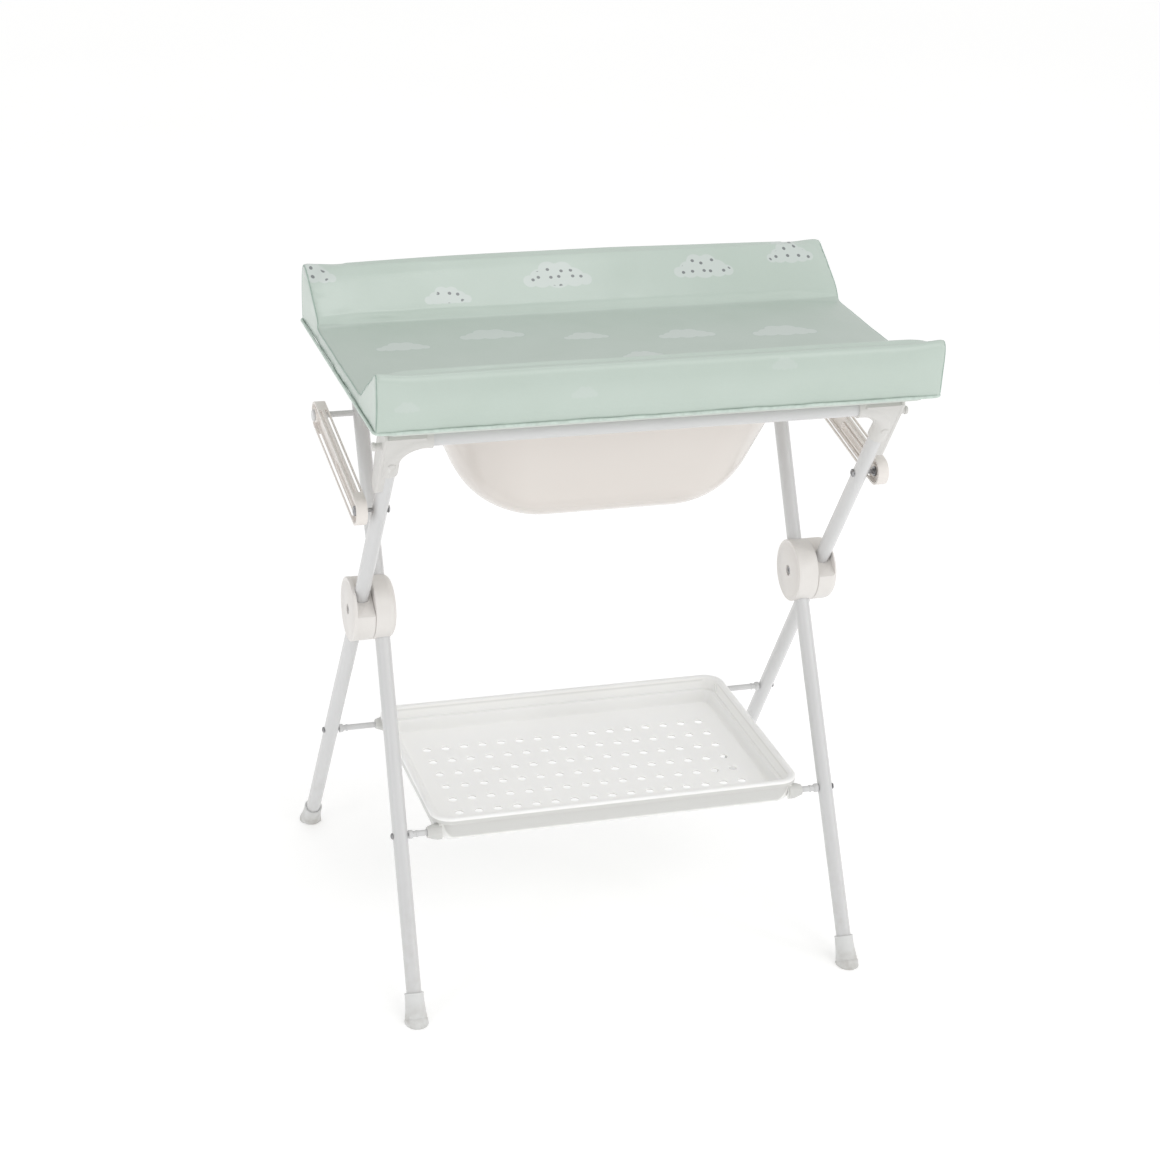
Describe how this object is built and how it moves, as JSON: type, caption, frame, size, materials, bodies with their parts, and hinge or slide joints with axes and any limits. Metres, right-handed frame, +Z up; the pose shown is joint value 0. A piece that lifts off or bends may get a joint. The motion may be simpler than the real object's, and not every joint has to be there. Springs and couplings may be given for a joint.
{
  "type": "changing table",
  "caption": "Folding changing table: padded mat hinged over a bath tub on a crossed tube frame with round hub joints and a perforated tray shelf.",
  "frame": {"origin": "on the floor, under the middle of the whole table", "axes": "+X along the table to the right as seen from the front, +Y to the back, +Z up"},
  "size_m": [0.8, 0.6445, 0.99],
  "materials": {
    "painted_tube": "satin",
    "hub_plastic": "satin",
    "dark_steel": "satin",
    "foot_rubber": "matte",
    "bracket_plastic": "satin",
    "arm_plastic": "satin",
    "tray_plastic": "satin",
    "tub_plastic": "gloss",
    "mat_vinyl": "satin",
    "board": "matte"
  },
  "bodies": {
    "inner_frame": {"rear_rail_tube": "painted_tube", "left_front_leg": "painted_tube", "left_hub_inner": "hub_plastic", "left_hub_bolt": "dark_steel", "left_front_foot": "foot_rubber", "left_front_spindle": "painted_tube", "left_front_leg_screw": "dark_steel", "left_arm_rod": "painted_tube", "right_front_leg": "painted_tube", "right_hub_inner": "hub_plastic", "right_hub_bolt": "dark_steel", "right_front_foot": "foot_rubber", "right_front_spindle": "painted_tube", "right_front_leg_screw": "dark_steel", "right_arm_rod": "painted_tube"},
    "outer_frame": {"front_rail_tube": "painted_tube", "left_rear_leg": "painted_tube", "left_hub_outer": "hub_plastic", "left_corner_bracket": "bracket_plastic", "left_rear_foot": "foot_rubber", "left_rear_spindle": "painted_tube", "left_rear_leg_screw": "dark_steel", "left_arm_stud": "dark_steel", "right_rear_leg": "painted_tube", "right_hub_outer": "hub_plastic", "right_corner_bracket": "bracket_plastic", "right_rear_foot": "foot_rubber", "right_rear_spindle": "painted_tube", "right_rear_leg_screw": "dark_steel", "right_arm_stud": "dark_steel"},
    "left_arm": {"left_side_arm": "arm_plastic"},
    "right_arm": {"right_side_arm": "arm_plastic"},
    "left_slider": {"left_arm_slider": "dark_steel"},
    "right_slider": {"right_arm_slider": "dark_steel"},
    "tray": {"tray": "tray_plastic"},
    "tub": {"tub": "tub_plastic", "left_tub_clip": "arm_plastic", "left_rim_pad": "foot_rubber", "left_mat_hinge_base": "dark_steel", "right_tub_clip": "arm_plastic", "right_rim_pad": "foot_rubber", "right_mat_hinge_base": "dark_steel"},
    "drain_plug": {"drain_plug": "foot_rubber"},
    "mat": {"mat_pad": "mat_vinyl", "mat_board": "board", "left_mat_hinge_leaf": "dark_steel", "right_mat_hinge_leaf": "dark_steel"}
  },
  "joints": [
    {"name": "frame_fold", "type": "hinge", "parent": "inner_frame", "child": "outer_frame", "pos_m": [0, -0.0105, 0.5225], "axis": [-1, 0, 0], "range_deg": [0, 31]},
    {"name": "tub_tilt", "type": "hinge", "parent": "inner_frame", "child": "tub", "pos_m": [0, 0.17664, 0.85735], "axis": [-1, 0, 0], "range_deg": [0, 117.8]},
    {"name": "mat_tilt", "type": "hinge", "parent": "tub", "child": "mat", "pos_m": [0, 0.1935, 0.88], "axis": [-1, 0, 0], "range_deg": [0, 92]},
    {"name": "drain_plug_pull", "type": "slide", "parent": "tub", "child": "drain_plug", "axis": [0, 0, 1], "range_m": [0, 0.03]},
    {"name": "tray_swing", "type": "hinge", "parent": "inner_frame", "child": "tray", "pos_m": [0, -0.1723, 0.233], "axis": [1, 0, 0], "range_deg": [0, 46.5]},
    {"name": "left_arm_swing", "type": "hinge", "parent": "inner_frame", "child": "left_arm", "pos_m": [-0.3846, 0.12795, 0.77024], "axis": [-1, 0, 0], "range_deg": [0, 5.71]},
    {"name": "left_arm_slide", "type": "slide", "parent": "left_arm", "child": "left_slider", "axis": [0, 0.987, 0.1605], "range_m": [0, 0.1265]},
    {"name": "right_arm_swing", "type": "hinge", "parent": "inner_frame", "child": "right_arm", "pos_m": [0.3846, 0.12795, 0.77024], "axis": [-1, 0, 0], "range_deg": [0, 5.71]},
    {"name": "right_arm_slide", "type": "slide", "parent": "right_arm", "child": "right_slider", "axis": [0, 0.987, 0.1605], "range_m": [0, 0.1265]}
  ],
  "couplings": [
    {"joint": "tub_tilt", "follows": "frame_fold", "ratio": 3.8},
    {"joint": "tray_swing", "follows": "frame_fold", "ratio": 1.5},
    {"joint": "left_arm_swing", "follows": "frame_fold", "ratio": 0.18377},
    {"joint": "left_arm_slide", "follows": "frame_fold", "m_per_rad": 0.23361},
    {"joint": "right_arm_swing", "follows": "frame_fold", "ratio": 0.18377},
    {"joint": "right_arm_slide", "follows": "frame_fold", "m_per_rad": 0.23361}
  ]
}
